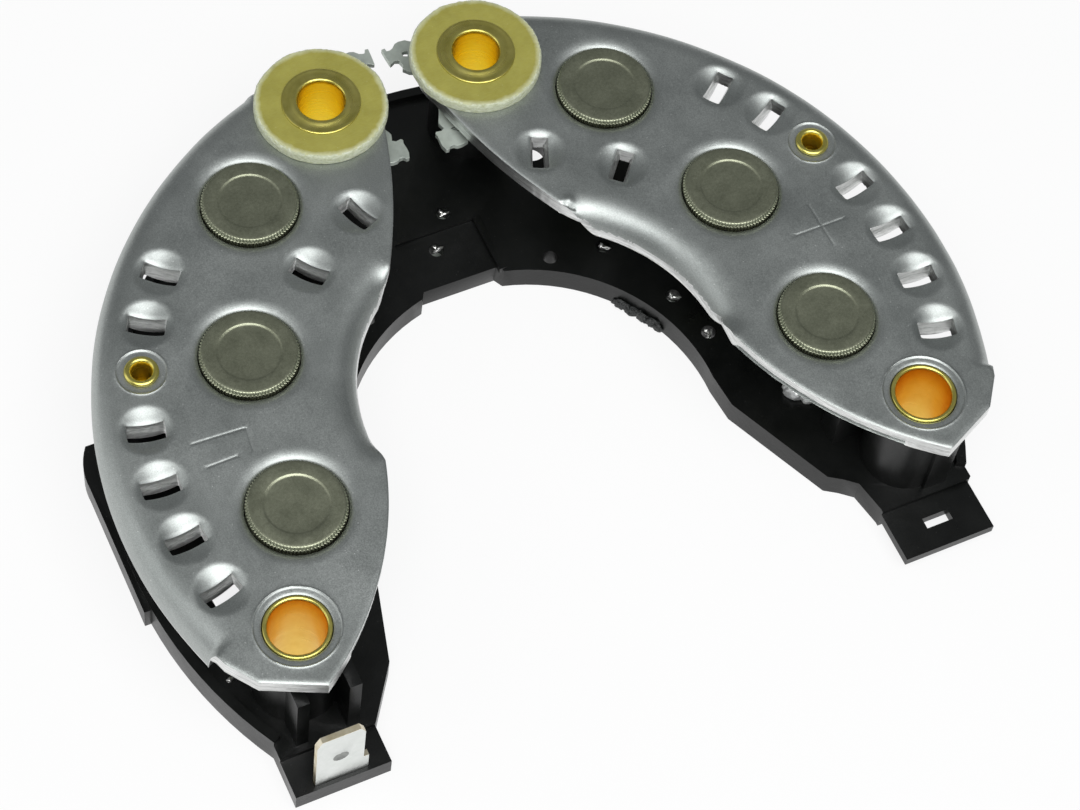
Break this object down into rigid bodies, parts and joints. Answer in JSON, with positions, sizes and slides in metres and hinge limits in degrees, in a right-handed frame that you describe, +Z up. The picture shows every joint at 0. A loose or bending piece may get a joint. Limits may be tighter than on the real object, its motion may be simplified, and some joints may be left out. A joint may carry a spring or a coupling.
{
  "type": "alternator rectifier",
  "caption": "Horseshoe bridge rectifier: two crescent aluminium heat sinks with press-fit diodes over a black terminal carrier.",
  "frame": {"origin": "the rotor shaft's axis, in the plane of the carrier's underside", "axes": "+X towards the positive plate, +Y towards the fibre washers, +Z up from the carrier to the plates"},
  "size_m": [0.1152, 0.0921, 0.0213],
  "materials": {
    "aluminium_sheet": "stamped sheet, satin",
    "diode_nickel": "dull nickel plate",
    "tinned_wire": "tinned",
    "tinned_plate": "tinned",
    "brass": "bright",
    "fibre_board": "varnished fibre board",
    "black_moulding": "moulded"
  },
  "bodies": {
    "root": {"negative_heat_sink": "aluminium_sheet", "negative_diode_1": "diode_nickel", "negative_diode_2": "diode_nickel", "negative_diode_3": "diode_nickel", "negative_lead_1": "tinned_wire", "negative_lead_2": "tinned_wire", "negative_lead_3": "tinned_wire", "negative_end_bush": "brass", "negative_eyelet": "brass", "negative_sleeve": "brass", "negative_fibre_washer": "fibre_board", "negative_lower_washer": "fibre_board", "negative_forked_terminal": "tinned_plate", "positive_heat_sink": "aluminium_sheet", "positive_diode_1": "diode_nickel", "positive_diode_2": "diode_nickel", "positive_diode_3": "diode_nickel", "positive_lead_1": "tinned_wire", "positive_lead_2": "tinned_wire", "positive_lead_3": "tinned_wire", "positive_end_bush": "brass", "positive_eyelet": "brass", "positive_sleeve": "brass", "positive_fibre_washer": "fibre_board", "positive_lower_washer": "fibre_board", "positive_forked_terminal": "tinned_plate", "terminal_carrier": "black_moulding", "spade_terminal": "tinned_plate", "phase_conductor_1": "tinned_plate", "phase_conductor_2": "tinned_plate", "phase_conductor_3": "tinned_plate"}
  },
  "joints": []
}
